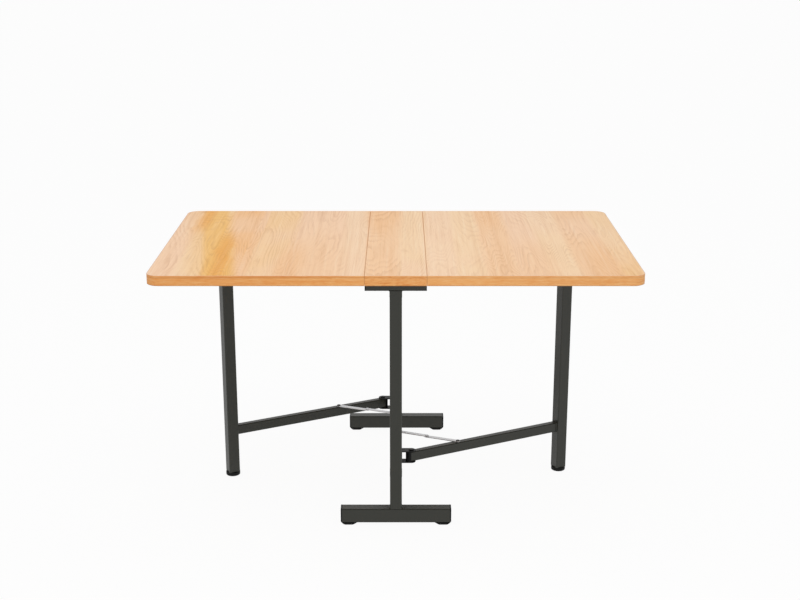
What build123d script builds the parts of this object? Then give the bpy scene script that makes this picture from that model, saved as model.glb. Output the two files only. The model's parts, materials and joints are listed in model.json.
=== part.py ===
from build123d import *
import os
from math import cos, hypot, radians, sin

# A gateleg table: a narrow steel frame under a centre panel, two wide leaves hinged to
# that panel, and two gates that swing out from the frame to carry the leaves.
# Millimetres. The origin is on the floor under the middle of the top, X runs along the
# length, the front is towards -Y and Z points up. The two halves are alike after half a
# turn about Z, so each side is drawn once, on the right, and turned for the left.

# Wooden top
table_length = 1360.0
table_width = 800.0
table_height = 750.0
top_thickness = 28.5
centre_width = 170.0
seam_gap = 0.5
top_corner_radius = 36.0
edge_band = 2.0
band_softening = 1.0
seam_softening = 0.4

# Steel tube of the frame
frame_setback = 22.5
post_width = 34.0
frame_wall = 1.8
tube_corner = 3.0
tube_inner_corner = 1.5
foot_beam_length = 318.0
foot_beam_height = 42.2
floor_clearance = 7.0
rail_length = 170.0
rail_height = 20.5
stretcher_width = 30.0
stretcher_height = 30.0
lower_stretcher_bottom = 133.0

# Plastic end feet of the foot beams
foot_flange = 4.0
foot_pad_length = 47.0
foot_pad_slope = 12.0
foot_chamfer_height = 9.5
foot_chamfer_width = 9.5
foot_end_round = 6.0
foot_pad_round = 12.0
foot_softening = 2.0
foot_plug_depth = 24.0

# Plastic plugs of the top rails
rail_plug_flange = 2.5
rail_plug_depth = 14.0
plug_clearance = 0.2
plug_wall = 2.0

# Gates
gate_angle = 27.0
gate_reach = 524.0
pivot_standoff = 30.0
pivot_inset = 124.5
leg_width = 34.5
gate_wall = 1.5
bar_width = 20.0
bar_height = 30.0
bar_start = 5.0
bar_plug_nose = 16.0
bar_plug_round = 7.0
bar_plug_depth = 18.0
leg_cap_flange = 5.0
leg_cap_round = 1.5
leg_plug_depth = 20.0
leaf_rest_gap = 0.3
glide_radius = 21.8
glide_height = 12.0
glide_round = 3.0
glide_top_round = 1.5

# Clevis brackets and pivot pins
clevis_plate = 3.0
clevis_tab_radius = 13.0
clevis_play = 0.5
pivot_pin_radius = 4.0
pivot_head_radius = 7.5
pivot_head_height = 3.0
pivot_head_round = 1.5
pivot_tail = 4.0
pivot_tail_chamfer = 1.0
pin_seat_clearance = 0.05
running_clearance = 0.1
bar_pin_clearance = 0.6

# Folding stays
stay_bar_offset = 158.0
stay_root_offset = 146.0
stay_bow = 1.0
link_width = 14.0
link_thickness = 2.0
link_gap = 0.3
link_softening = 0.4
stay_lift = 0.4
stay_rivet_radius = 3.0
stay_rivet_head = 6.0
stay_rivet_cap = 1.6
stay_rivet_tail = 3.0
stay_rivet_tail_radius = 4.5
stay_end_play = 0.15
mid_stud_radius = 5.0
mid_stud_rise = 1.4
mid_stud_shoulder = 0.15
rivet_taper = 30.0

# Leaf hinges
hinge_spacing = 240.0
hinge_length = 60.0
hinge_drop = 4.5
knuckle_radius = 4.0
knuckle_gap = 0.4
hinge_pin_radius = 1.9
hinge_pin_overhang = 1.0
flap_relief = 5.0
flap_width = 30.0
flap_thickness = 2.0
flap_corner = 4.0
flap_screw_across = 18.0
flap_screw_spacing = 40.0

# Screws
hinge_screw_radius = 1.75
hinge_screw_grip = 14.0
hinge_screw_head = 3.6
hinge_screw_head_height = 2.2
rail_screw_radius = 2.5
rail_screw_grip = 16.0
rail_screw_head = 5.0
rail_screw_head_height = 3.0
rail_screw_inset = 27.0
screw_clearance = 0.1
screw_slot_width = 1.0
screw_slot_depth = 1.0
screw_slot_inset = 1.0

# Levels and places that follow from the driving dimensions
top_underside = table_height - top_thickness
foot_beam_top = floor_clearance + foot_beam_height
post_top = top_underside - rail_height
post_offset = table_width / 2 - frame_setback - post_width / 2
post_inner_face = post_offset - post_width / 2
upper_stretcher_bottom = post_top - stretcher_height
panel_depth = table_width - 2 * edge_band
seam_x = centre_width / 2
leaf_inner_x = seam_x + seam_gap / 2
leaf_width = table_length / 2 - leaf_inner_x
hinge_axis_z = top_underside - hinge_drop
pivot_x = stretcher_width / 2 + pivot_standoff
pivot_y = -(post_inner_face - pivot_inset)
leg_x = pivot_x + gate_reach * cos(radians(gate_angle))
leg_y = pivot_y + gate_reach * sin(radians(gate_angle))
leg_top = top_underside - leaf_rest_gap - leg_cap_flange

# Gate bars sit at mid height of the stretcher that carries their clevis
bar_levels = {
    "lower": lower_stretcher_bottom + (stretcher_height - bar_height) / 2,
    "upper": upper_stretcher_bottom + (stretcher_height - bar_height) / 2,
}
lower_bar_top = bar_levels["lower"] + bar_height
lower_stretcher_top = lower_stretcher_bottom + stretcher_height

# Stay pivots in plan, with the gate open
stay_bar_x = pivot_x + stay_bar_offset * cos(radians(gate_angle))
stay_bar_y = pivot_y + stay_bar_offset * sin(radians(gate_angle))
stay_root_y = pivot_y + stay_root_offset
stay_run_y = stay_bar_y - stay_root_y
stay_span = hypot(stay_bar_x, stay_run_y)
link_length = hypot(stay_span / 2, stay_bow)
stay_mid_x = stay_bar_x / 2 + stay_bow * stay_run_y / stay_span
stay_mid_y = (stay_bar_y + stay_root_y) / 2 - stay_bow * stay_bar_x / stay_span
outer_link_bottom = max(lower_stretcher_top, lower_bar_top) + stay_lift
inner_link_bottom = outer_link_bottom + link_thickness + link_gap

halves = {"left": -1, "right": 1}
ends = {"front": 1, "rear": -1}


def level_plane(side, x, y, z, turn=0.0):
    """Level plane at a place of the right half, or half a turn round for the left."""
    across = (side * cos(radians(turn)), side * sin(radians(turn)), 0)
    return Plane(origin=(side * x, side * y, z), x_dir=across, z_dir=(0, 0, 1))


def run_plane(side, x, y, z, turn=0.0):
    """Upright plane square to a level run, with its own Y pointing up."""
    along = (side * cos(radians(turn)), side * sin(radians(turn)), 0)
    across = (-side * sin(radians(turn)), side * cos(radians(turn)), 0)
    return Plane(origin=(side * x, side * y, z), x_dir=across, z_dir=along)


def tube_profile(width, height, wall):
    """Section of a welded tube with rounded corners."""
    RectangleRounded(width, height, tube_corner)
    inner_width = width - 2 * wall
    inner_height = height - 2 * wall
    RectangleRounded(inner_width, inner_height, tube_inner_corner, mode=Mode.SUBTRACT)


def plug_profile(width, height, wall):
    """Hollow section of a plug that fits inside such a tube."""
    plug_width = width - 2 * wall - 2 * plug_clearance
    plug_height = height - 2 * wall - 2 * plug_clearance
    RectangleRounded(plug_width, plug_height, tube_inner_corner)
    Rectangle(plug_width - 2 * plug_wall, plug_height - 2 * plug_wall, mode=Mode.SUBTRACT)


def save(piece, name):
    """Label a finished piece and write it."""
    piece.part.label = name
    export_step(piece.part, f"parts/{name}.step")


os.makedirs("parts", exist_ok=True)

# Screw places in plan, drawn for one half: hinge flaps on either side of the seam, rails
hinge_places = [-hinge_spacing, 0.0, hinge_spacing]
flap_screw_rows = [row * flap_screw_spacing / 2 for row in (-1, 1)]
flap_screw_ys = [place + row for place in hinge_places for row in flap_screw_rows]
centre_screw_places = [(seam_x - flap_screw_across, y) for y in flap_screw_ys]
leaf_screw_places = [(seam_x + flap_screw_across, y) for y in flap_screw_ys]
rail_screw_x = rail_length / 2 - rail_screw_inset
rail_screw_places = [(x, -post_offset) for x in (-rail_screw_x, rail_screw_x)]

# Centre panel with pilot holes for its hinge and rail screws
with BuildPart() as centre_panel:
    with BuildSketch(Plane.XY.offset(top_underside)):
        Rectangle(centre_width - seam_gap, panel_depth)
    extrude(amount=top_thickness)
    top_edges = centre_panel.faces().sort_by(Axis.Z)[-1].edges()
    chamfer(top_edges.filter_by(Axis.Y), seam_softening)
    for side in halves.values():
        with BuildSketch(level_plane(side, 0, 0, top_underside)):
            with Locations(*centre_screw_places):
                Circle(hinge_screw_radius + screw_clearance)
        extrude(amount=hinge_screw_grip, mode=Mode.SUBTRACT)
        with BuildSketch(level_plane(side, 0, 0, top_underside)):
            with Locations(*rail_screw_places):
                Circle(rail_screw_radius + screw_clearance)
        extrude(amount=rail_screw_grip, mode=Mode.SUBTRACT)
save(centre_panel, "centre_panel")

# Edge bands of the centre panel, front and rear
with BuildPart() as centre_bands:
    with BuildSketch(Plane.XY.offset(top_underside)):
        Rectangle(centre_width - seam_gap, table_width)
    extrude(amount=top_thickness)
    rims = centre_bands.faces().filter_by(Axis.Z).edges().filter_by(Axis.X)
    fillet(rims, band_softening)
    with BuildSketch(Plane.XY.offset(top_underside)):
        Rectangle(centre_width, panel_depth)
    extrude(amount=top_thickness, mode=Mode.SUBTRACT)
save(centre_bands, "centre_edge_bands")

# Leaves: a panel with pilot holes, and one edge band round its three outer sides
for hand, side in halves.items():
    leaf_plane = level_plane(side, 0, 0, top_underside)
    with BuildPart() as leaf:
        with BuildSketch(leaf_plane) as plan:
            with Locations((leaf_inner_x, 0)):
                Rectangle(leaf_width - edge_band, panel_depth, align=(Align.MIN, Align.CENTER))
            fillet(plan.vertices().group_by(Axis.X)[-1], top_corner_radius - edge_band)
        extrude(amount=top_thickness)
        seam_edges = leaf.faces().sort_by(Axis.Z)[-1].edges().filter_by(Axis.Y)
        chamfer(seam_edges.sort_by(lambda edge: abs(edge.center().X))[0], seam_softening)
        with BuildSketch(leaf_plane):
            with Locations(*leaf_screw_places):
                Circle(hinge_screw_radius + screw_clearance)
        extrude(amount=hinge_screw_grip, mode=Mode.SUBTRACT)
    save(leaf, f"{hand}_leaf")

    with BuildPart() as leaf_band:
        with BuildSketch(leaf_plane) as plan:
            with Locations((leaf_inner_x, 0)):
                Rectangle(leaf_width, table_width, align=(Align.MIN, Align.CENTER))
            fillet(plan.vertices().group_by(Axis.X)[-1], top_corner_radius)
        extrude(amount=top_thickness)
        rims = leaf_band.faces().filter_by(Axis.Z).edges()
        outer_rims = rims.filter_by(lambda edge: abs(edge.center().X) > leaf_inner_x + edge_band)
        fillet(outer_rims, band_softening)
        with BuildSketch(leaf_plane) as plan:
            with Locations((leaf_inner_x, 0)):
                Rectangle(leaf_width - edge_band, panel_depth, align=(Align.MIN, Align.CENTER))
            fillet(plan.vertices().group_by(Axis.X)[-1], top_corner_radius - edge_band)
        extrude(amount=top_thickness, mode=Mode.SUBTRACT)
    save(leaf_band, f"{hand}_leaf_edge_band")

# Posts, foot beams and top rails at the front and rear
beam_tube_length = foot_beam_length - 2 * foot_flange
rail_tube_length = rail_length - 2 * rail_plug_flange
for end, side in ends.items():
    with BuildPart() as post:
        with BuildSketch(level_plane(side, 0, -post_offset, foot_beam_top)):
            tube_profile(post_width, post_width, frame_wall)
        extrude(amount=post_top - foot_beam_top)
    save(post, f"{end}_post")

    beam_middle = floor_clearance + foot_beam_height / 2
    with BuildPart() as foot_beam:
        with BuildSketch(run_plane(side, -beam_tube_length / 2, -post_offset, beam_middle)):
            tube_profile(post_width, foot_beam_height, frame_wall)
        extrude(amount=beam_tube_length)
    save(foot_beam, f"{end}_foot_beam")

    rail_middle = post_top + rail_height / 2
    with BuildPart() as top_rail:
        with BuildSketch(run_plane(side, -rail_tube_length / 2, -post_offset, rail_middle)):
            tube_profile(post_width, rail_height, frame_wall)
        extrude(amount=rail_tube_length)
        with BuildSketch(level_plane(side, 0, 0, post_top)):
            with Locations(*rail_screw_places):
                Circle(rail_screw_radius + screw_clearance)
        extrude(amount=rail_height, mode=Mode.SUBTRACT)
    save(top_rail, f"{end}_top_rail")

# End feet: a flange over the tube's end, a pad under the beam and a plug inside it
for end, side in ends.items():
    for hand, out in halves.items():
        tube_end = (out * beam_tube_length / 2, -side * post_offset, 0)
        pad_inner = foot_flange - foot_pad_length
        with BuildPart() as foot:
            with BuildSketch(Plane(origin=tube_end, x_dir=(out, 0, 0), z_dir=(0, -out, 0))) as profile:
                with BuildLine():
                    Polyline(
                        (0, foot_beam_top),
                        (foot_flange, foot_beam_top),
                        (foot_flange, foot_chamfer_height),
                        (foot_flange - foot_chamfer_width, 0),
                        (pad_inner + foot_pad_slope, 0),
                        (pad_inner, floor_clearance),
                        (0, floor_clearance),
                        close=True,
                    )
                make_face()
                fillet(profile.vertices().group_by(Axis.X)[-1].sort_by(Axis.Y)[-1], foot_softening)
                fillet(profile.vertices().group_by(Axis.X)[-1].sort_by(Axis.Y)[0], foot_end_round)
                fillet(profile.vertices().group_by(Axis.Y)[0], foot_pad_round)
            extrude(amount=post_width / 2, both=True)
            fillet(foot.edges().filter_by(Axis.X).group_by(Axis.Z)[-1], foot_softening)
            plug_middle = floor_clearance + foot_beam_height / 2
            plug_start = (out * (beam_tube_length / 2 - foot_plug_depth), -side * post_offset, plug_middle)
            with BuildSketch(Plane(origin=plug_start, x_dir=(0, out, 0), z_dir=(out, 0, 0))):
                plug_profile(post_width, foot_beam_height, frame_wall)
            extrude(amount=foot_plug_depth)
        save(foot, f"{end}_{hand}_foot")

# Plugs in the four ends of the top rails
with BuildPart() as rail_plugs:
    for side in ends.values():
        for out in halves.values():
            rail_middle = post_top + rail_height / 2
            rail_end = (out * rail_tube_length / 2, -side * post_offset, rail_middle)
            rail_end_plane = Plane(origin=rail_end, x_dir=(0, out, 0), z_dir=(out, 0, 0))
            with BuildSketch(rail_end_plane):
                RectangleRounded(post_width, rail_height, tube_corner)
            extrude(amount=rail_plug_flange)
            with BuildSketch(rail_end_plane):
                plug_profile(post_width, rail_height, frame_wall)
            extrude(amount=-rail_plug_depth)
save(rail_plugs, "rail_end_plugs")

# Stretchers between the posts, the lower one drilled for the stay rivets
with BuildPart() as upper_stretcher:
    upper_middle = upper_stretcher_bottom + stretcher_height / 2
    with BuildSketch(run_plane(1, 0, -post_inner_face, upper_middle, 90)):
        tube_profile(stretcher_width, stretcher_height, frame_wall)
    extrude(amount=2 * post_inner_face)
save(upper_stretcher, "upper_stretcher")

with BuildPart() as lower_stretcher:
    lower_middle = lower_stretcher_bottom + stretcher_height / 2
    with BuildSketch(run_plane(1, 0, -post_inner_face, lower_middle, 90)):
        tube_profile(stretcher_width, stretcher_height, frame_wall)
    extrude(amount=2 * post_inner_face)
    for side in halves.values():
        with BuildSketch(level_plane(side, 0, stay_root_y, lower_stretcher_top - frame_wall)):
            Circle(stay_rivet_radius + pin_seat_clearance)
        extrude(amount=frame_wall, mode=Mode.SUBTRACT)
save(lower_stretcher, "lower_stretcher")

# Clevis brackets on the stretchers and the pins through them
for hand, side in halves.items():
    for level, bar_bottom in bar_levels.items():
        tab_levels = [bar_bottom - clevis_play - clevis_plate, bar_bottom + bar_height + clevis_play]
        clevis_bottom = tab_levels[0]
        clevis_top = tab_levels[1] + clevis_plate
        with BuildPart() as clevis:
            for tab_level in tab_levels:
                with BuildSketch(level_plane(side, pivot_x, pivot_y, tab_level)):
                    Circle(clevis_tab_radius)
                    Rectangle(pivot_standoff, 2 * clevis_tab_radius, align=(Align.MAX, Align.CENTER))
                    Circle(pivot_pin_radius + pin_seat_clearance, mode=Mode.SUBTRACT)
                extrude(amount=clevis_plate)
            with BuildSketch(level_plane(side, stretcher_width / 2, pivot_y, clevis_bottom)):
                Rectangle(clevis_plate, 2 * clevis_tab_radius, align=(Align.MIN, Align.CENTER))
            extrude(amount=clevis_top - clevis_bottom)
        save(clevis, f"{hand}_{level}_clevis")

        with BuildPart() as pivot_pin:
            with BuildSketch(level_plane(side, pivot_x, pivot_y, clevis_bottom - pivot_tail)):
                Circle(pivot_pin_radius)
            extrude(amount=clevis_top - clevis_bottom + pivot_tail)
            chamfer(pivot_pin.faces().sort_by(Axis.Z)[0].edges(), pivot_tail_chamfer)
            with BuildSketch(level_plane(side, pivot_x, pivot_y, clevis_top)):
                Circle(pivot_head_radius)
            extrude(amount=pivot_head_height)
            fillet(pivot_pin.faces().sort_by(Axis.Z)[-1].edges(), pivot_head_round)
        save(pivot_pin, f"{hand}_{level}_pivot_pin")

# Gates: leg, two bars, the plugs in the bars' ends, leg cap and foot glide
bar_length = gate_reach - leg_width / 2 + bar_start
for hand, side in halves.items():
    with BuildPart() as leg:
        with BuildSketch(level_plane(side, leg_x, leg_y, glide_height, gate_angle)):
            tube_profile(leg_width, leg_width, gate_wall)
        extrude(amount=leg_top - glide_height)
    save(leg, f"{hand}_gate_leg")

    with BuildPart() as leg_cap:
        with BuildSketch(level_plane(side, leg_x, leg_y, leg_top, gate_angle)):
            RectangleRounded(leg_width, leg_width, tube_corner)
        extrude(amount=leg_cap_flange)
        fillet(leg_cap.faces().sort_by(Axis.Z)[-1].edges(), leg_cap_round)
        with BuildSketch(level_plane(side, leg_x, leg_y, leg_top, gate_angle)):
            plug_profile(leg_width, leg_width, gate_wall)
        extrude(amount=-leg_plug_depth)
    save(leg_cap, f"{hand}_leg_cap")

    with BuildPart() as glide:
        with BuildSketch(level_plane(side, leg_x, leg_y, 0)):
            Circle(glide_radius)
        extrude(amount=glide_height)
        fillet(glide.faces().sort_by(Axis.Z)[0].edges(), glide_round)
        fillet(glide.faces().sort_by(Axis.Z)[-1].edges(), glide_top_round)
        with BuildSketch(level_plane(side, leg_x, leg_y, glide_height, gate_angle)):
            plug_profile(leg_width, leg_width, gate_wall)
        extrude(amount=leg_plug_depth)
    save(glide, f"{hand}_foot_glide")

    for level, bar_bottom in bar_levels.items():
        bar_middle = bar_bottom + bar_height / 2
        start_x = pivot_x - bar_start * cos(radians(gate_angle))
        start_y = pivot_y - bar_start * sin(radians(gate_angle))
        with BuildPart() as bar:
            with BuildSketch(run_plane(side, start_x, start_y, bar_middle, gate_angle)):
                tube_profile(bar_width, bar_height, gate_wall)
            extrude(amount=bar_length)
            with BuildSketch(level_plane(side, pivot_x, pivot_y, bar_bottom)):
                Circle(pivot_pin_radius + bar_pin_clearance)
            extrude(amount=bar_height, mode=Mode.SUBTRACT)
            if level == "lower":
                with BuildSketch(level_plane(side, stay_bar_x, stay_bar_y, lower_bar_top - gate_wall)):
                    Circle(stay_rivet_radius + pin_seat_clearance)
                extrude(amount=gate_wall, mode=Mode.SUBTRACT)
        save(bar, f"{hand}_{level}_bar")

        plug_width = bar_width - 2 * gate_wall - 2 * plug_clearance
        plug_height = bar_height - 2 * gate_wall - 2 * plug_clearance
        with BuildPart() as bar_plug:
            with BuildSketch(level_plane(side, pivot_x, pivot_y, bar_bottom, gate_angle)) as nose:
                with Locations((-bar_start, 0)):
                    Rectangle(bar_plug_nose - bar_start, bar_width, align=(Align.MAX, Align.CENTER))
                fillet(nose.vertices().group_by(Axis.X)[0], bar_plug_round)
            extrude(amount=bar_height)
            with BuildSketch(run_plane(side, start_x, start_y, bar_middle, gate_angle)):
                RectangleRounded(plug_width, plug_height, tube_inner_corner)
            extrude(amount=bar_plug_depth)
            with BuildSketch(level_plane(side, pivot_x, pivot_y, bar_bottom)):
                Circle(pivot_pin_radius + running_clearance)
            extrude(amount=bar_height, mode=Mode.SUBTRACT)
        save(bar_plug, f"{hand}_{level}_bar_plug")


def stay_rivets(sides, x, y, seat, wall, link_bottom):
    """Shouldered rivets: tail inside the tube, spacer under the link, shank and cap."""
    cap_bottom = link_bottom + link_thickness + stay_end_play
    with BuildPart() as rivets:
        for side in sides:
            with BuildSketch(level_plane(side, x, y, seat - wall - stay_rivet_tail)):
                Circle(stay_rivet_tail_radius)
            extrude(amount=stay_rivet_tail)
            with BuildSketch(level_plane(side, x, y, seat)):
                Circle(stay_rivet_head)
            extrude(amount=link_bottom - stay_end_play - seat)
            with BuildSketch(level_plane(side, x, y, seat - wall)):
                Circle(stay_rivet_radius)
            extrude(amount=cap_bottom - seat + wall)
            with BuildSketch(level_plane(side, x, y, cap_bottom)):
                Circle(stay_rivet_head)
            extrude(amount=stay_rivet_cap, taper=rivet_taper)
    return rivets


def stay_link(plane, stud_level, stud_rise):
    """Flat link along X from the plane's origin, with its part of the middle stud at its end."""
    with BuildPart() as link:
        with BuildSketch(plane):
            with Locations((link_length / 2, 0)):
                SlotCenterToCenter(link_length, link_width)
            Circle(stay_rivet_radius + running_clearance, mode=Mode.SUBTRACT)
        extrude(amount=link_thickness)
        chamfer(link.faces().sort_by(Axis.Z)[-1].outer_wire().edges(), link_softening)
        with BuildSketch(plane.offset(stud_level)):
            with Locations((link_length, 0)):
                Circle(mid_stud_radius)
        extrude(amount=stud_rise)
    return link


# Root rivets of both stays, fixed in the lower stretcher
root_rivets = stay_rivets(
    halves.values(), 0, stay_root_y, lower_stretcher_top, frame_wall, inner_link_bottom
)
save(root_rivets, "stay_root_rivets")

# Stays: rivet on the gate bar, inner link with the middle stud's head, outer link with its shoulder
for hand, side in halves.items():
    bar_rivet = stay_rivets(
        [side], stay_bar_x, stay_bar_y, lower_bar_top, gate_wall, outer_link_bottom
    )
    save(bar_rivet, f"{hand}_stay_bar_rivet")

    inner_plane = Plane(
        origin=(0, side * stay_root_y, inner_link_bottom),
        x_dir=(side * stay_mid_x, side * (stay_mid_y - stay_root_y), 0),
        z_dir=(0, 0, 1),
    )
    inner_link = stay_link(inner_plane, link_thickness, mid_stud_rise)
    save(inner_link, f"{hand}_stay_inner_link")

    outer_plane = Plane(
        origin=(side * stay_bar_x, side * stay_bar_y, outer_link_bottom),
        x_dir=(side * (stay_mid_x - stay_bar_x), side * (stay_mid_y - stay_bar_y), 0),
        z_dir=(0, 0, 1),
    )
    outer_link = stay_link(outer_plane, link_thickness, mid_stud_shoulder)
    save(outer_link, f"{hand}_stay_outer_link")


def hinge_flaps(side, toward, knuckles):
    """Flaps of the three hinges of one seam, on the side that toward points to."""
    inner_strip = flap_relief + flap_corner
    with BuildPart() as flaps:
        for place in hinge_places:
            with BuildSketch(level_plane(side, seam_x, place, top_underside - flap_thickness)):
                with Locations((toward * (flap_relief + flap_width / 2), 0)):
                    RectangleRounded(flap_width, hinge_length, flap_corner)
                for start, length in knuckles:
                    with Locations((toward * inner_strip / 2, start + length / 2)):
                        Rectangle(inner_strip, length)
                with Locations(*[(toward * flap_screw_across, row) for row in flap_screw_rows]):
                    Circle(hinge_screw_radius + screw_clearance, mode=Mode.SUBTRACT)
            extrude(amount=flap_thickness)
            for start, length in knuckles:
                with BuildSketch(run_plane(side, seam_x, place + start, hinge_axis_z, 90)):
                    Circle(knuckle_radius)
                extrude(amount=length)
            with BuildSketch(run_plane(side, seam_x, place - hinge_length / 2, hinge_axis_z, 90)):
                Circle(hinge_pin_radius + running_clearance)
            extrude(amount=hinge_length, mode=Mode.SUBTRACT)
    return flaps


# Leaf hinges: the centre flaps have the middle knuckle, the leaf flaps the two outer ones
knuckle_length = hinge_length / 3 - knuckle_gap
middle_knuckle = [(-knuckle_length / 2, knuckle_length)]
outer_knuckles = [
    (-hinge_length / 2, knuckle_length),
    (hinge_length / 2 - knuckle_length, knuckle_length),
]
for hand, side in halves.items():
    centre_flaps = hinge_flaps(side, -1, middle_knuckle)
    save(centre_flaps, f"{hand}_hinge_centre_flaps")

    leaf_flaps = hinge_flaps(side, 1, outer_knuckles)
    save(leaf_flaps, f"{hand}_hinge_leaf_flaps")

    with BuildPart() as hinge_pins:
        for place in hinge_places:
            pin_start = place - hinge_length / 2 - hinge_pin_overhang
            with BuildSketch(run_plane(side, seam_x, pin_start, hinge_axis_z, 90)):
                Circle(hinge_pin_radius)
            extrude(amount=hinge_length + 2 * hinge_pin_overhang)
    save(hinge_pins, f"{hand}_hinge_pins")


def screws(sides, places, seat, shank, length, head, head_height):
    """Pan head screws with a cross recess, driven up into the wood from their seat."""
    slot_length = 2 * head - 2 * screw_slot_inset
    with BuildPart() as group:
        for side in sides:
            with BuildSketch(level_plane(side, 0, 0, seat - head_height)):
                with Locations(*places):
                    Circle(head)
            extrude(amount=head_height)
            with BuildSketch(level_plane(side, 0, 0, seat)):
                with Locations(*places):
                    Circle(shank)
            extrude(amount=length)
            with BuildSketch(level_plane(side, 0, 0, seat - head_height)):
                with Locations(*places):
                    Rectangle(slot_length, screw_slot_width)
                    Rectangle(screw_slot_width, slot_length)
            extrude(amount=screw_slot_depth, mode=Mode.SUBTRACT)
    return group


def hinge_screws(sides, places):
    """Screws that hold the hinge flaps, seated under them."""
    return screws(
        sides,
        places,
        top_underside - flap_thickness,
        hinge_screw_radius,
        flap_thickness + hinge_screw_grip,
        hinge_screw_head,
        hinge_screw_head_height,
    )


# Hinge screws in the centre panel and in each leaf, and the rail screws
save(hinge_screws(halves.values(), centre_screw_places), "centre_hinge_screws")
for hand, side in halves.items():
    save(hinge_screws([side], leaf_screw_places), f"{hand}_leaf_hinge_screws")

rail_screws = screws(
    ends.values(),
    rail_screw_places,
    post_top,
    rail_screw_radius,
    rail_height + rail_screw_grip,
    rail_screw_head,
    rail_screw_head_height,
)
save(rail_screws, "rail_screws")
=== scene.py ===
import json
from math import cos, radians, sin, tau

import bmesh
import bpy
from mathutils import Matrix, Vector


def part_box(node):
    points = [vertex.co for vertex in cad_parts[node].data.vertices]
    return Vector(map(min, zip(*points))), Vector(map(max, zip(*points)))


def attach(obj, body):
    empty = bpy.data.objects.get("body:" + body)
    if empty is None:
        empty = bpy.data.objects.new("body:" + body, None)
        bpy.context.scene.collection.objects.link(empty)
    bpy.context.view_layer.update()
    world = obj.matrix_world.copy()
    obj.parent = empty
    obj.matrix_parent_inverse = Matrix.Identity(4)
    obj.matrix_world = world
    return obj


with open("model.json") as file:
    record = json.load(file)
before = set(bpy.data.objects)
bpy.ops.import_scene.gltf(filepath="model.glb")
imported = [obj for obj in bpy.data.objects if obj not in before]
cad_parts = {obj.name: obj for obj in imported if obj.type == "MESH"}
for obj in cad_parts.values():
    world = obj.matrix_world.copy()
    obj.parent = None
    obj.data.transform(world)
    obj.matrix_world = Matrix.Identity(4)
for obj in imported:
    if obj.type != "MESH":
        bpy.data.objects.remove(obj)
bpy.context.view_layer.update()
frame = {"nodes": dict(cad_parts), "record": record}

nodes = frame["nodes"]
slots = {part["node"]: part["material_slot"] for part in frame["record"]["subparts"]}
scene = bpy.context.scene

# Places on the table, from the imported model
centre_low, centre_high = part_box("centre_panel")
HALF_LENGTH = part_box("right_leaf_edge_band")[1][0]
TOP_LEVEL, UNDERSIDE = centre_high[2], centre_low[2]
SEAM_PLACE = (centre_high[0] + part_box("right_leaf")[0][0]) / 2


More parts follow.
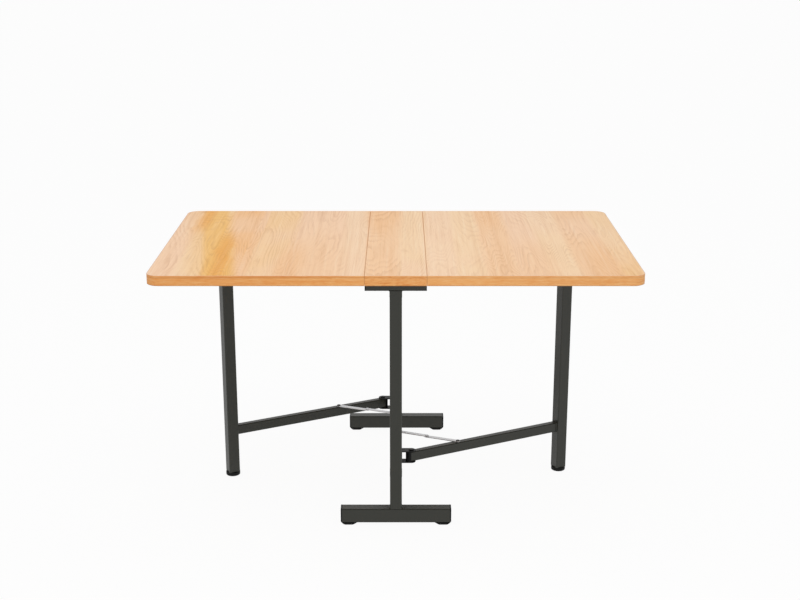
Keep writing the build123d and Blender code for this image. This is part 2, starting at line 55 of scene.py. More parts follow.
class Graph:
    """Node graph of one material, with short calls for the nodes used here."""

    def __init__(self, name):
        self.material = bpy.data.materials.new(name)
        self.material.use_nodes = True
        tree = self.material.node_tree
        self.nodes, self.links = tree.nodes, tree.links
        self.shader = self.nodes["Principled BSDF"]
        coordinates = self.nodes.new("ShaderNodeTexCoord").outputs
        self.place, self.facing = coordinates["Object"], coordinates["Normal"]

    def put(self, socket, value):
        """Links a socket to the value, or sets the value on it."""
        if isinstance(value, bpy.types.NodeSocket):
            self.links.new(value, socket)
        else:
            socket.default_value = value

    def node(self, kind, inputs, **settings):
        made = self.nodes.new(kind)
        for key, value in settings.items():
            setattr(made, key, value)
        for key, value in inputs.items():
            self.put(made.inputs[key], value)
        return made

    def math(self, operation, a, b=0.0):
        return self.node("ShaderNodeMath", {0: a, 1: b}, operation=operation).outputs[0]

    def plus(self, a, b):
        return self.math("ADD", a, b)

    def minus(self, a, b):
        return self.math("SUBTRACT", a, b)

    def times(self, a, b):
        return self.math("MULTIPLY", a, b)

    def absolute(self, value):
        return self.math("ABSOLUTE", value)

    def split(self, vector):
        return self.node("ShaderNodeSeparateXYZ", {0: vector}).outputs

    def join(self, x, y, z):
        return self.node("ShaderNodeCombineXYZ", {0: x, 1: y, 2: z}).outputs[0]

    def length(self, vector):
        return self.node("ShaderNodeVectorMath", {0: vector}, operation="LENGTH").outputs["Value"]

    def noise(self, vector, detail=2.0, roughness=0.5, distortion=0.0):
        inputs = {"Vector": vector, "Scale": 1.0, "Detail": detail}
        inputs |= {"Roughness": roughness, "Distortion": distortion}
        return self.node("ShaderNodeTexNoise", inputs).outputs[0]

    def cloud(self, per_metre, **settings):
        """Noise on the piece's own coordinates, with so many waves to a metre along X, Y and Z."""
        scale = per_metre if isinstance(per_metre, tuple) else (per_metre,) * 3
        inputs = {0: self.place, 1: scale}
        stretched = self.node("ShaderNodeVectorMath", inputs, operation="MULTIPLY").outputs[0]
        return self.noise(stretched, **settings)

    def fit(self, value, low, high, to_low=0.0, to_high=1.0, smooth=True):
        """Value taken from one range to another, with an end that holds beyond it."""
        kind = "SMOOTHSTEP" if smooth else "LINEAR"
        inputs = {0: value, 1: low, 2: high, 3: to_low, 4: to_high}
        return self.node("ShaderNodeMapRange", inputs, interpolation_type=kind, clamp=True).outputs[0]

    def hump(self, value, start, full, full_end, end):
        """Mask that rises from start to full and falls from the end of full to the end."""
        return self.times(self.fit(value, start, full), self.fit(value, end, full_end))

    def ramp(self, factor, stops, interpolation="LINEAR"):
        made = self.node("ShaderNodeValToRGB", {0: factor})
        elements = made.color_ramp.elements
        made.color_ramp.interpolation = interpolation
        while len(elements) > 1:
            elements.remove(elements[0])
        for index, (position, colour) in enumerate(stops):
            stop = elements[0] if index == 0 else elements.new(position)
            stop.position = position
            stop.color = (*colour, 1.0)
        return made.outputs[0]

    def blend(self, factor, a, b, kind="MIX"):
        a = (*a, 1.0) if isinstance(a, tuple) else a
        b = (*b, 1.0) if isinstance(b, tuple) else b
        made = self.node("ShaderNodeMix", {0: factor, 6: a, 7: b}, data_type="RGBA", blend_type=kind)
        return made.outputs[2]

    def bump(self, height, distance, strength):
        inputs = {"Strength": strength, "Distance": distance, "Height": height}
        return self.node("ShaderNodeBump", inputs).outputs[0]

    def edge(self, radius, low, high):
        """Mask that is 1 near sharp edges, from how far a rounded normal leans away from the face."""
        rounded = self.node("ShaderNodeBevel", {"Radius": radius}, samples=4).outputs[0]
        plain = self.node("ShaderNodeNewGeometry", {}).outputs["Normal"]
        lean = self.node("ShaderNodeVectorMath", {0: rounded, 1: plain}, operation="DOT_PRODUCT")
        return self.fit(lean.outputs["Value"], high, low)

    def finish(self, **inputs):
        for key, value in inputs.items():
            name = {"Color": "Base Color", "Specular": "Specular IOR Level"}.get(key, key)
            self.put(self.shader.inputs[name], value)
        return self.material


# Wood of the top: planks that run front to back, each with its own tone and figure
PALE = (0.902, 0.640, 0.420)
CREAM = (0.894, 0.628, 0.384)
BLUSH = (0.888, 0.598, 0.388)
TAN = (0.858, 0.505, 0.250)
BUFF = (0.876, 0.560, 0.320)
STRAW = (0.878, 0.570, 0.284)
RUSSET = (0.860, 0.470, 0.185)
GOLD = (0.866, 0.545, 0.255)
HONEY = (0.845, 0.465, 0.090)
AMBER = (0.815, 0.360, 0.038)
SEAM = (0.74, 0.36, 0.14)
STRIPE_SHADE = (0.92, 0.85, 0.77)
LATE_WOOD_SHADE = (0.78, 0.66, 0.55)
FIBRE_SHADE = (0.78, 0.68, 0.58)
FIBRE_LIGHT = (0.92, 0.72, 0.52)
PORE_SHADE = (0.60, 0.42, 0.26)
# Planks: where each starts in X, its tone, and how strongly its figure shows
PLANKS = (
    (-0.680, BLUSH, 0.97),
    (-0.612, CREAM, 0.97),
    (-0.530, RUSSET, 1.00),
    (-0.430, TAN, 1.00),
    (-0.412, STRAW, 0.90),
    (-0.305, BLUSH, 0.73),
    (-0.160, PALE, 0.62),
    (-0.086, BUFF, 0.92),
    (0.012, CREAM, 0.69),
    (0.086, PALE, 0.48),
    (0.170, CREAM, 0.50),
    (0.250, BUFF, 0.70),
    (0.340, BLUSH, 0.85),
    (0.420, CREAM, 0.85),
    (0.505, BUFF, 0.80),
    (0.615, GOLD, 0.66),
)
PLANK_BLUR = 0.022
BORDER_DRIFT = 0.03
NUMBER_STRIDE = 7
SEED_SPREAD = 23.0
# Patches where a plank changes its tone: middle in X and Y, reach in X and Y, tone
PATCHES = (
    (-0.235, -0.36, 0.110, 0.62, BUFF),
    (-0.295, -0.34, 0.050, 0.36, TAN),
    (-0.045, 0.36, 0.065, 0.36, TAN),
    (0.290, 0.36, 0.050, 0.28, TAN),
    (0.395, -0.34, 0.075, 0.42, BUFF),
    (0.455, 0.34, 0.055, 0.30, PALE),
    (0.585, -0.36, 0.055, 0.40, TAN),
    (0.650, 0.26, 0.055, 0.55, CREAM),
)
PATCH_STRENGTH = 0.75
PATCH_CORE, PATCH_END = 0.35, 1.15
# Streak in the left leaf: its line in X, the slant of that along Y, half widths, and a paler shoulder
STREAK_LINE, STREAK_SLANT, STREAK_STRENGTH = -0.5375, 0.127, 0.85
STREAK_CORE, STREAK_REACH = 0.024, 0.066
SHOULDER = (-0.120, -0.040, 0.0, 0.030)
SHOULDER_STRENGTH = 0.40
# Its veins at the rear and the front: line in X, half widths, and where in Y each starts and is full
REAR_VEIN_LINE, REAR_VEIN_CORE, REAR_VEIN_REACH = -0.611, 0.004, 0.038
REAR_VEIN_START, REAR_VEIN_FULL = 0.04, 0.26
FRONT_VEIN_LINE, FRONT_VEIN_CORE, FRONT_VEIN_REACH = -0.504, 0.005, 0.036
FRONT_VEIN_START, FRONT_VEIN_FULL = 0.16, -0.08
FRONT_VEIN_SLANT = 0.04
VEIN_WAVER, VEIN_STRENGTH = 0.05, 0.72
# Seams between the panels: half widths, and strength from one place in Y to another
SEAM_CORE, SEAM_REACH = 0.0010, 0.0023
SEAM_FRONT, SEAM_REAR = -0.25, 0.30
SEAM_FRONT_STRENGTH, SEAM_REAR_STRENGTH = 0.42, 0.88
# Rings of the flat sawn figure: their number over the field and to a metre, and their ragged edges
RING_COUNT, RING_COUNT_SPREAD = 25.0, 1.3
RINGS_PER_METRE = 22.0
RING_TEETH = 0.9


def on_ramp(place):
    """Position of a place in X on a ramp as long as the table."""
    return (place + HALF_LENGTH) / (2 * HALF_LENGTH)


def plank_tones():
    """Ramp stops with the tone of each plank, and blurred borders between them."""
    ends = [start for start, _, _ in PLANKS[1:]] + [HALF_LENGTH]
    stops = []
    for (start, tone, _), end in zip(PLANKS, ends):
        stops += [(on_ramp(start + PLANK_BLUR / 2), tone), (on_ramp(end - PLANK_BLUR / 2), tone)]
    return stops


def plank_numbers():
    """Ramp stops with a grey of its own for each plank, to set its figure apart."""
    count = len(PLANKS)
    greys = [index * NUMBER_STRIDE % count / count for index in range(count)]
    return [(on_ramp(start), (grey,) * 3) for (start, _, _), grey in zip(PLANKS, greys)]


def plank_figures():
    """Ramp stops, as greys, for how strongly each plank's figure shows."""
    return [(on_ramp(start), (figure,) * 3) for start, _, figure in PLANKS]


def add_patches(g, tone, across, y):
    for middle_x, middle_y, reach_x, reach_y, patch_tone in PATCHES:
        off_x = g.math("DIVIDE", g.minus(across, middle_x), reach_x)
        off_y = g.math("DIVIDE", g.minus(y, middle_y), reach_y)
        off = g.length(g.join(off_x, off_y, 0.0))
        tone = g.blend(g.fit(off, PATCH_END, PATCH_CORE, 0.0, PATCH_STRENGTH), tone, patch_tone)
    return tone


def add_streak(g, tone, across, y):
    """A slanting honey streak in the left leaf, with one amber vein at its rear and one at its front."""
    off_streak = g.minus(g.plus(across, g.times(y, STREAK_SLANT)), STREAK_LINE)
    streak = g.hump(off_streak, -STREAK_REACH, -STREAK_CORE, STREAK_CORE, STREAK_REACH)
    shoulder = g.times(g.hump(off_streak, *SHOULDER), SHOULDER_STRENGTH)
    streak = g.math("MAXIMUM", streak, shoulder)

    waver = g.times(g.minus(g.cloud((6.0, 9.0, 6.0)), 0.5), VEIN_WAVER)
    vein_place = g.plus(across, waver)
    off_rear = g.absolute(g.minus(vein_place, REAR_VEIN_LINE))
    rear_vein = g.fit(off_rear, REAR_VEIN_REACH, REAR_VEIN_CORE)
    rear_vein = g.times(rear_vein, g.fit(y, REAR_VEIN_START, REAR_VEIN_FULL))
    off_front = g.absolute(g.minus(g.plus(vein_place, g.times(y, FRONT_VEIN_SLANT)), FRONT_VEIN_LINE))
    front_vein = g.fit(off_front, FRONT_VEIN_REACH, FRONT_VEIN_CORE)
    front_vein = g.times(front_vein, g.fit(y, FRONT_VEIN_START, FRONT_VEIN_FULL))

    tone = g.blend(g.times(streak, STREAK_STRENGTH), tone, HONEY)
    veins = g.math("MAXIMUM", rear_vein, front_vein)
    return g.blend(g.times(veins, VEIN_STRENGTH), tone, AMBER)


def make_wood_top():
    """Satin wood of the three panels."""
    g = Graph("satin_wood_top")
    x, y, _ = g.split(g.place)
    drift = g.minus(g.cloud((2.5, 1.5, 2.5)), 0.5)
    across = g.plus(x, g.times(drift, BORDER_DRIFT))
    along_ramp = g.fit(across, -HALF_LENGTH, HALF_LENGTH, smooth=False)
    seed = g.times(g.ramp(along_ramp, plank_numbers(), "CONSTANT"), SEED_SPREAD)

    def drawn_out(waves_across, waves_along, start=0.0, **settings):
        """Noise drawn out along the planks and different on each, with so many waves to a metre."""
        side = g.plus(g.times(x, waves_across), start)
        return g.noise(g.join(side, g.times(y, waves_along), seed), **settings)

    tone = g.ramp(along_ramp, plank_tones())
    fade = drawn_out(3.0, 2.2, start=seed)
    tone = g.blend(g.fit(fade, 0.42, 0.70, 0.0, 0.60), tone, BLUSH)
    tone = add_patches(g, tone, across, y)
    tone = add_streak(g, tone, across, y)

    # Flat sawn figure: contour lines of a field drawn out along the plank
    field = drawn_out(8.0, 1.3, start=seed, detail=1.5, roughness=0.4, distortion=0.25)
    ring_count = g.plus(g.times(seed, RING_COUNT_SPREAD), RING_COUNT)
    rings = g.plus(g.times(field, ring_count), g.times(x, RINGS_PER_METRE))
    rings = g.math("FRACT", g.plus(rings, g.times(drawn_out(120.0, 11.0), RING_TEETH)))
    late_wood = g.hump(rings, 0.35, 0.92, 0.93, 1.0)
    lively = drawn_out(9.0, 4.5, detail=3.0, roughness=0.6)
    late_wood = g.times(late_wood, g.fit(lively, 0.38, 0.62, 0.13, 0.53))
    late_wood = g.times(late_wood, g.ramp(along_ramp, plank_figures(), "CONSTANT"))
    fibre = drawn_out(160.0, 3.2, detail=4.0, roughness=0.65)
    pores = g.fit(drawn_out(1100.0, 30.0, detail=1.0), 0.62, 0.74)
    stripes = drawn_out(62.0, 0.9)

    colour = g.blend(g.fit(stripes, 0.48, 0.72, 0.0, 0.55), tone, STRIPE_SHADE, "MULTIPLY")
    colour = g.blend(late_wood, colour, LATE_WOOD_SHADE, "MULTIPLY")
    colour = g.blend(g.fit(fibre, 0.50, 0.80, 0.0, 0.40), colour, FIBRE_SHADE, "MULTIPLY")
    colour = g.blend(g.fit(fibre, 0.50, 0.22, 0.0, 0.18), colour, FIBRE_LIGHT, "SCREEN")
    colour = g.blend(g.times(pores, 0.22), colour, PORE_SHADE, "MULTIPLY")
    seam = g.fit(g.absolute(g.minus(g.absolute(x), SEAM_PLACE)), SEAM_REACH, SEAM_CORE)
    strength = g.fit(y, SEAM_FRONT, SEAM_REAR, SEAM_FRONT_STRENGTH, SEAM_REAR_STRENGTH, smooth=False)
    colour = g.blend(g.times(seam, strength), colour, SEAM)
    height = g.minus(g.times(fibre, 0.4), g.times(pores, 0.6))
    return g.finish(
        Color=colour,
        Roughness=g.fit(fibre, 0.25, 0.75, 0.44, 0.56, smooth=False),
        Specular=0.28,
        Normal=g.bump(height, 0.00012, 0.5),
    )


# Wood of the edge bands: tones along a ramp, then the shades of their figure and borders
EDGE_TONES = (
    (0.32, (0.71, 0.262, 0.058)),
    (0.52, (0.78, 0.330, 0.088)),
    (0.72, (0.83, 0.410, 0.135)),
)
EDGE_PATCH = (0.84, 0.425, 0.150)
EDGE_RIGHT = (0.87, 0.480, 0.190)
EDGE_LINE_SHADE = (0.85, 0.66, 0.46)
EDGE_FIBRE_SHADE = (0.78, 0.60, 0.42)
EDGE_GRAIN_SHADE = (0.92, 0.75, 0.56)
EDGE_GRAIN_LIGHT = (0.50, 0.36, 0.20)
MOTTLE_SHADE = (0.86, 0.68, 0.52)
UPPER_LINE_SHADE = (0.90, 0.91, 0.98)
LOWER_EDGE_PAINTED_SHADE = (0.62, 0.60, 0.60)
UPWARD_FACE_TONE = (0.66, 0.46, 0.37)
# Border lines: heights below the top at which the upper one rises and falls, and above the underside
UPPER_LINE = (0.0075, 0.0060, 0.0040, 0.0028)
LOWER_LINE_END, LOWER_LINE_FULL = 0.0025, 0.0007
MOTTLE_BLUR = 0.001


def make_wood_edge():
    """Edge band: the same wood, cut so that the streaks run along the edge."""
    g = Graph("satin_wood_edge")
    x, _, z = g.split(g.place)
    streaks = g.cloud((4.0, 4.0, 170.0), detail=4.0, roughness=0.6, distortion=0.4)
    patches = g.cloud((3.0, 3.0, 40.0))
    fibre = g.cloud((22.0, 22.0, 1300.0), detail=3.0, roughness=0.6)
    tone = g.ramp(streaks, EDGE_TONES)
    tone = g.blend(g.fit(patches, 0.45, 0.75, 0.0, 0.5), tone, EDGE_PATCH)
    tone = g.blend(g.fit(x, -0.5, 0.5, 0.0, 0.55), tone, EDGE_RIGHT)
    lines = g.cloud((1.6, 1.6, 420.0))
    tone = g.blend(g.fit(lines, 0.52, 0.72, 0.0, 0.55), tone, EDGE_LINE_SHADE, "MULTIPLY")
    colour = g.blend(g.fit(fibre, 0.52, 0.78, 0.0, 0.35), tone, EDGE_FIBRE_SHADE, "MULTIPLY")
    grain = g.cloud((42.0, 42.0, 360.0), detail=3.0, roughness=0.6, distortion=0.5)
    colour = g.blend(g.fit(grain, 0.48, 0.70, 0.0, 0.70), colour, EDGE_GRAIN_SHADE, "MULTIPLY")
    colour = g.blend(g.fit(grain, 0.50, 0.28, 0.0, 0.30), colour, EDGE_GRAIN_LIGHT, "SCREEN")

    # The centre panel's edge is cut across a livelier figure
    mottle = g.fit(g.cloud((55.0, 55.0, 230.0), distortion=0.8), 0.46, 0.66)
    mottle = g.times(mottle, g.fit(g.absolute(x), SEAM_PLACE, SEAM_PLACE - MOTTLE_BLUR))
    colour = g.blend(g.times(mottle, 0.75), colour, MOTTLE_SHADE, "MULTIPLY")

    # Border lines: a darker line under the upper edge, painted shade along the lower edge, and a greyish
    # brown tone on the faces that point up
    under_top = g.hump(z, *(TOP_LEVEL - depth for depth in UPPER_LINE))
    colour = g.blend(under_top, colour, UPPER_LINE_SHADE, "MULTIPLY")
    # Painted shade along the lower edge, where its rounding faces down
    over_underside = g.fit(z, UNDERSIDE + LOWER_LINE_END, UNDERSIDE + LOWER_LINE_FULL)
    colour = g.blend(over_underside, colour, LOWER_EDGE_PAINTED_SHADE, "MULTIPLY")
    # Greyish brown tone on the faces that point up
    facing_up = g.split(g.node("ShaderNodeNewGeometry", {}).outputs["Normal"])[2]
    colour = g.blend(g.fit(facing_up, 0.80, 0.95), colour, UPWARD_FACE_TONE)
    return g.finish(
        Color=colour,
        Roughness=g.fit(fibre, 0.25, 0.75, 0.42, 0.55, smooth=False),
        Specular=0.28,
        Normal=g.bump(fibre, 0.0001, 0.4),
    )


# Coatings, plastic and zinc
PAINT_DARK = (0.0137, 0.0142, 0.0082)
PAINT_LIGHT = (0.0172, 0.0177, 0.0117)
PAINT_SPECK = (0.034, 0.034, 0.028)
# Lighter tones for sharp edges, here and below: partly rubbed wear, partly a painted highlight
PAINT_RUBBED_HIGHLIGHT = (0.045, 0.045, 0.042)
# Painted shade along the level edges of the tubes
PAINTED_EDGE_SHADE = (0.009, 0.009, 0.007)
PAINT_GLOSS, PAINT_EDGE_GLOSS = 0.50, 0.24
COAT_DARK = (0.0030, 0.0030, 0.0030)
COAT_LIGHT = (0.0060, 0.0060, 0.0060)
COAT_RUBBED_HIGHLIGHT = (0.030, 0.029, 0.028)
PLASTIC_DARK = (0.0030, 0.0030, 0.0031)
PLASTIC_LIGHT = (0.0060, 0.0060, 0.0060)
PLASTIC_RUBBED_HIGHLIGHT = (0.022, 0.022, 0.022)
CRYSTAL_SHADE = (0.80, 0.81, 0.83)


def make_paint():
    """Fine textured powder coat, duller along the level edges of the tubes, with painted shade darkening its
    colour there.
    """
    g = Graph("powder_coat")
    upright = g.absolute(g.split(g.facing)[2])
    level_edge = g.hump(upright, 0.10, 0.40, 0.93, 0.995)
    peel = g.cloud(900.0)
    speck = g.cloud(2600.0, detail=1.0)
    tone = g.blend(g.cloud((14.0, 14.0, 9.0), detail=3.0), PAINT_DARK, PAINT_LIGHT)
    tone = g.blend(g.fit(speck, 0.60, 0.75, 0.0, 0.45), tone, PAINT_SPECK)
    # Sharp edges lighter: rubbed wear and a painted edge highlight
    tone = g.blend(g.times(g.edge(0.0018, 0.80, 0.99), 0.30), tone, PAINT_RUBBED_HIGHLIGHT)
    # Painted shade: a darker line along the level edges of the tubes
    tone = g.blend(g.times(level_edge, 0.55), tone, PAINTED_EDGE_SHADE)
    return g.finish(
        Color=tone,
        Roughness=g.fit(peel, 0.3, 0.7, 0.36, 0.46, smooth=False),
        Specular=g.fit(level_edge, 0.0, 1.0, PAINT_GLOSS, PAINT_EDGE_GLOSS, smooth=False),
        Normal=g.bump(peel, 0.00010, 0.20),
    )


def make_black_hardware():
    """Black coated steel of the clevises and pins, lighter at the edges from a little rubbed wear and a
    painted highlight.
    """
    g = Graph("black_coated_steel")
    grain = g.cloud(1400.0)
    cloud = g.cloud(60.0, detail=3.0)
    tone = g.blend(cloud, COAT_DARK, COAT_LIGHT)
    # Sharp edges lighter: rubbed wear and a painted edge highlight
    tone = g.blend(g.times(g.edge(0.0012, 0.75, 0.98), 0.4), tone, COAT_RUBBED_HIGHLIGHT)
    return g.finish(
        Color=tone,
        Roughness=g.fit(cloud, 0.3, 0.7, 0.34, 0.46, smooth=False),
        Specular=0.20,
        Normal=g.bump(grain, 0.00006, 0.3),
    )


def make_black_plastic():
    """Moulded plastic with a spark-eroded grain."""
    g = Graph("moulded_black_plastic")
    grain = g.node("ShaderNodeTexVoronoi", {"Vector": g.place, "Scale": 1500.0}).outputs["Distance"]
    cloud = g.cloud(45.0, detail=3.0)
    tone = g.blend(cloud, PLASTIC_DARK, PLASTIC_LIGHT)
    # Sharp edges lighter: rubbed wear and a painted edge highlight
    tone = g.blend(g.times(g.edge(0.0012, 0.78, 0.985), 0.30), tone, PLASTIC_RUBBED_HIGHLIGHT)
    return g.finish(
        Color=tone,
        Roughness=g.fit(cloud, 0.3, 0.7, 0.46, 0.58, smooth=False),
        Specular=0.16,
        Normal=g.bump(grain, 0.00010, 0.35),
    )


def make_zinc(name, light, dark, rough):
    """Zinc plated steel: soft crystals, rolling lines and a few scratches."""
    g = Graph(name)
    crystals = g.node("ShaderNodeTexVoronoi", {"Vector": g.place, "Scale": 260.0}).outputs["Color"]
    crystals = g.node("ShaderNodeSeparateColor", {0: crystals}).outputs[0]
    cloud = g.cloud(30.0, detail=4.0, roughness=0.6)
    scratch = g.cloud((70.0, 1500.0, 900.0))
    tone = g.blend(cloud, dark, light)
    tone = g.blend(g.times(crystals, 0.25), tone, CRYSTAL_SHADE, "MULTIPLY")
    tone = g.blend(g.fit(scratch, 0.62, 0.76, 0.0, 0.35), tone, light)
    return g.finish(
        Color=tone,
        Metallic=1.0,
        Roughness=g.fit(cloud, 0.3, 0.7, rough - 0.06, rough + 0.08, smooth=False),
        Normal=g.bump(scratch, 0.00004, 0.3),
    )


finishes = {
    "wood_top": make_wood_top(),
    "wood_edge": make_wood_edge(),
    "frame_paint": make_paint(),
    "black_hardware": make_black_hardware(),
    "black_plastic": make_black_plastic(),
    "stay_steel": make_zinc("zinc_plated_strip", (0.64, 0.64, 0.65), (0.50, 0.50, 0.51), 0.34),
    "hinge_steel": make_zinc("zinc_plated_hinge", (0.58, 0.57, 0.55), (0.44, 0.43, 0.42), 0.32),
}

for name, part in nodes.items():
    part.data.materials.clear()
    part.data.materials.append(finishes[slots[name]])


# Weld beads where tubes and brackets meet, with the ripples of the weld pool
BEAD_RADIUS = 0.0028
BEAD_SIDES = 12
BEAD_TIP = 0.45
RIPPLE_PITCH = 0.0026
RIPPLE_DEPTH = 0.10
RING_STEP = 0.0006
UP = Vector((0, 0, 1))
NEARLY_UPRIGHT = 0.99
# Tubes: radius of their corners, the share of it that a cut takes, and widths that a turned gate's box hides
TUBE_CORNER = 0.003
CORNER_CUT = 0.3
LEG_WIDTH = 0.0345
BAR_WIDTH = 0.020


def walk(points, closed):
    """Points about one ring step apart along a line of points, with the run to each."""
    ends = points[1:] + points[:1] if closed else points[1:]
    made, run = [], 0.0
    for start, end in zip(points, ends):
        leg = end - start
        count = max(1, round(leg.length / RING_STEP))
        made += [(start + leg * (step / count), run + leg.length * step / count) for step in range(count)]
        run += leg.length
    return made if closed else made + [(points[-1], run)]


def add_bead(mesh, points, closed=False):
    """Rippled bead along a line of points, as a closed skin."""
    track = walk([Vector(point) for point in points], closed)
    full_run = track[-1][1]
    rings = []
    for index, (place, run) in enumerate(track):
        before = track[index - 1][0] if index or closed else place
        after = track[(index + 1) % len(track)][0] if closed or index + 1 < len(track) else place
        ahead = (after - before).normalized()
        aside = ahead.orthogonal() if abs(ahead.z) > NEARLY_UPRIGHT else ahead.cross(UP)
        side = aside.normalized()
        up = side.cross(ahead)
        ripple = 1.0 - RIPPLE_DEPTH * (run / RIPPLE_PITCH % 1.0)
        tip = 1.0 if closed else min(1.0, BEAD_TIP + min(run, full_run - run) / (2 * BEAD_RADIUS))
        ring = []
        for step in range(BEAD_SIDES):
            angle = tau * step / BEAD_SIDES
            lean = side * cos(angle) + up * sin(angle)
            ring.append(mesh.verts.new(place + lean * BEAD_RADIUS * ripple * tip))
        rings.append(ring)
    for ring, following in zip(rings, rings[1:] + rings[:1] if closed else rings[1:]):
        for step in range(BEAD_SIDES):
            beside = (step + 1) % BEAD_SIDES
            mesh.faces.new((ring[step], ring[beside], following[beside], following[step]))
    if not closed:
        mesh.faces.new(rings[0])
        mesh.faces.new(rings[-1])


def outline(middle, across, width, height):
    """Corners of a tube's outline, level along one direction and upright, with cut corners."""
    half_width, half_height = width / 2, height / 2
    cut = TUBE_CORNER * CORNER_CUT
    quarter = [
        (half_width, half_height - TUBE_CORNER),
        (half_width - cut, half_height - cut),
        (half_width - TUBE_CORNER, half_height),
    ]
    places = quarter + [(-u, v) for u, v in reversed(quarter)]
    places += [(-u, -v) for u, v in quarter] + [(u, -v) for u, v in reversed(quarter)]
    return [middle + across * u + UP * v for u, v in places]


def finish_beads(mesh, name, body):
    """Turns the beads into one piece that rides on a body."""
    bmesh.ops.recalc_face_normals(mesh, faces=mesh.faces)
    data = bpy.data.meshes.new(name)
    mesh.to_mesh(data)
    mesh.free()
    data.shade_smooth()
    data.materials.append(finishes["frame_paint"])
    beads = bpy.data.objects.new(name, data)
    scene.collection.objects.link(beads)
    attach(beads, body)


def weld_frame():
    """Beads at both ends of the posts, round the stretchers' ends, and beside the clevises."""
    mesh = bmesh.new()
    for end in ("front", "rear"):
        low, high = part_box(f"{end}_post")
        for x in (low[0], high[0]):
            for z in (low[2], high[2]):
                add_bead(mesh, [(x, low[1] + TUBE_CORNER, z), (x, high[1] - TUBE_CORNER, z)])
    for level in ("lower", "upper"):
        low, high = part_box(f"{level}_stretcher")
        size = high - low
        for y in (low[1], high[1]):
            middle = Vector((0.0, y, (low[2] + high[2]) / 2))
            add_bead(mesh, outline(middle, Vector((1, 0, 0)), size[0], size[2]), closed=True)
        for hand, side in (("left", -1), ("right", 1)):
            plate_low, plate_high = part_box(f"{hand}_{level}_clevis")
            x = side * size[0] / 2
            for y in (plate_low[1], plate_high[1]):
                add_bead(mesh, [(x, y, low[2] + TUBE_CORNER), (x, y, high[2] - TUBE_CORNER)])
    finish_beads(mesh, "frame_weld_beads", "frame")


def weld_gate(hand):
    """Beads round both bars where they meet the leg."""
    mesh = bmesh.new()
    leg_low, leg_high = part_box(f"{hand}_gate_leg")
    pin_low, pin_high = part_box(f"{hand}_lower_pivot_pin")
    leg_middle, pivot = (leg_low + leg_high) / 2, (pin_low + pin_high) / 2
    run = Vector((leg_middle[0] - pivot[0], leg_middle[1] - pivot[1], 0.0)).normalized()
    across = Vector((-run.y, run.x, 0.0))
    for level in ("lower", "upper"):
        low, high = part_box(f"{hand}_{level}_bar")
        middle = leg_middle - run * LEG_WIDTH / 2
        middle.z = (low[2] + high[2]) / 2
        add_bead(mesh, outline(middle, across, BAR_WIDTH, high[2] - low[2]), closed=True)
    finish_beads(mesh, f"{hand}_gate_weld_beads", f"{hand}_gate")


weld_frame()
weld_gate("left")
weld_gate("right")


# Studio: pale floor, even white surroundings and two soft lamps
FLOOR_REACH = 40.0
FLOOR_TONE = (0.80, 0.80, 0.80, 1.0)
FLOOR_GLOW = 0.94
WHITE = (1.0, 1.0, 1.0, 1.0)
WORLD_LIGHT, WORLD_SEEN = 0.72, 1.0
# Lamps: name, place, turn in degrees, size, power, and whether glossy surfaces show them
LAMPS = (
    ("overhead_softbox", (-0.1, -0.6, 3.4), (-10.0, -2.0, 0.0), 3.0, 27.0, True),
    ("front_softbox", (0.2, -2.9, 0.45), (86.0, 0.0, 3.5), 1.4, 15.0, False),
)
# Camera of the photo: place, how far it looks down in degrees, and its lens on the sensor in millimetres
CAMERA_PLACE = (0.0116, -3.8270, 1.7011)
CAMERA_PITCH = 16.5535
CAMERA_LENS, SENSOR_WIDTH = 59.236, 36.0


def is_seen(tree):
    """Socket that is 1 for rays that show the background: camera, glossy and transmission."""
    path = tree.nodes.new("ShaderNodeLightPath").outputs
    seen = path["Is Camera Ray"]
    for other in ("Is Glossy Ray", "Is Transmission Ray"):
        either = tree.nodes.new("ShaderNodeMath")
        either.operation = "MAXIMUM"
        tree.links.new(seen, either.inputs[0])
        tree.links.new(path[other], either.inputs[1])
        seen = either.outputs[0]
    return seen


def between(tree, factor, low, high):
    """Socket that runs from low to high with a factor."""
    made = tree.nodes.new("ShaderNodeMapRange")
    made.inputs["To Min"].default_value = low
    made.inputs["To Max"].default_value = high
    tree.links.new(factor, made.inputs["Value"])
    return made.outputs[0]


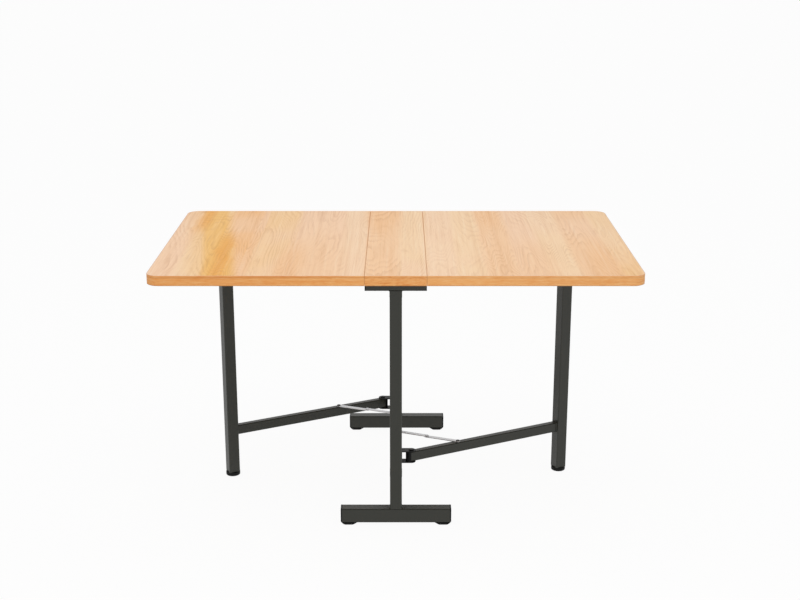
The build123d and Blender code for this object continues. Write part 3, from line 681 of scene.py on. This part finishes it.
def make_floor():
    """Floor that looks nearly white and still takes the shadow."""
    mesh = bpy.data.meshes.new("studio_floor")
    signs = ((-1, -1), (1, -1), (1, 1), (-1, 1))
    mesh.from_pydata([(u * FLOOR_REACH, v * FLOOR_REACH, 0) for u, v in signs], [], [(0, 1, 2, 3)])
    floor = bpy.data.objects.new("studio_floor", mesh)
    scene.collection.objects.link(floor)
    material = bpy.data.materials.new("studio_floor_white")
    material.use_nodes = True
    tree = material.node_tree
    tree.nodes.clear()
    matt = tree.nodes.new("ShaderNodeBsdfDiffuse")
    matt.inputs["Color"].default_value = FLOOR_TONE
    glow = tree.nodes.new("ShaderNodeEmission")
    mixed = tree.nodes.new("ShaderNodeMixShader")
    out = tree.nodes.new("ShaderNodeOutputMaterial")
    tree.links.new(between(tree, is_seen(tree), 0.0, FLOOR_GLOW), mixed.inputs[0])
    tree.links.new(matt.outputs[0], mixed.inputs[1])
    tree.links.new(glow.outputs[0], mixed.inputs[2])
    tree.links.new(mixed.outputs[0], out.inputs[0])
    mesh.materials.append(material)


def make_world():
    world = bpy.data.worlds.new("white_studio")
    world.use_nodes = True
    tree = world.node_tree
    background = tree.nodes["Background"]
    background.inputs["Color"].default_value = WHITE
    strength = between(tree, is_seen(tree), WORLD_LIGHT, WORLD_SEEN)
    tree.links.new(strength, background.inputs["Strength"])
    scene.world = world


def make_lamp(name, place, turn, size, power, mirrored):
    light = bpy.data.lights.new(name, "AREA")
    light.shape = "SQUARE"
    light.size = size
    light.energy = power
    lamp = bpy.data.objects.new(name, light)
    lamp.visible_camera = False
    lamp.visible_glossy = mirrored
    lamp.location = place
    lamp.rotation_euler = [radians(angle) for angle in turn]
    scene.collection.objects.link(lamp)


def make_camera():
    data = bpy.data.cameras.new("photo_camera")
    data.sensor_fit = "HORIZONTAL"
    data.sensor_width = SENSOR_WIDTH
    data.lens = CAMERA_LENS
    camera = bpy.data.objects.new("photo_camera", data)
    camera.location = CAMERA_PLACE
    camera.rotation_euler = (radians(90.0 - CAMERA_PITCH), 0.0, 0.0)
    scene.collection.objects.link(camera)
    bpy.context.scene.camera = camera


make_floor()
make_world()
for lamp in LAMPS:
    make_lamp(*lamp)
make_camera()
bpy.context.scene.view_settings.view_transform = "Standard"
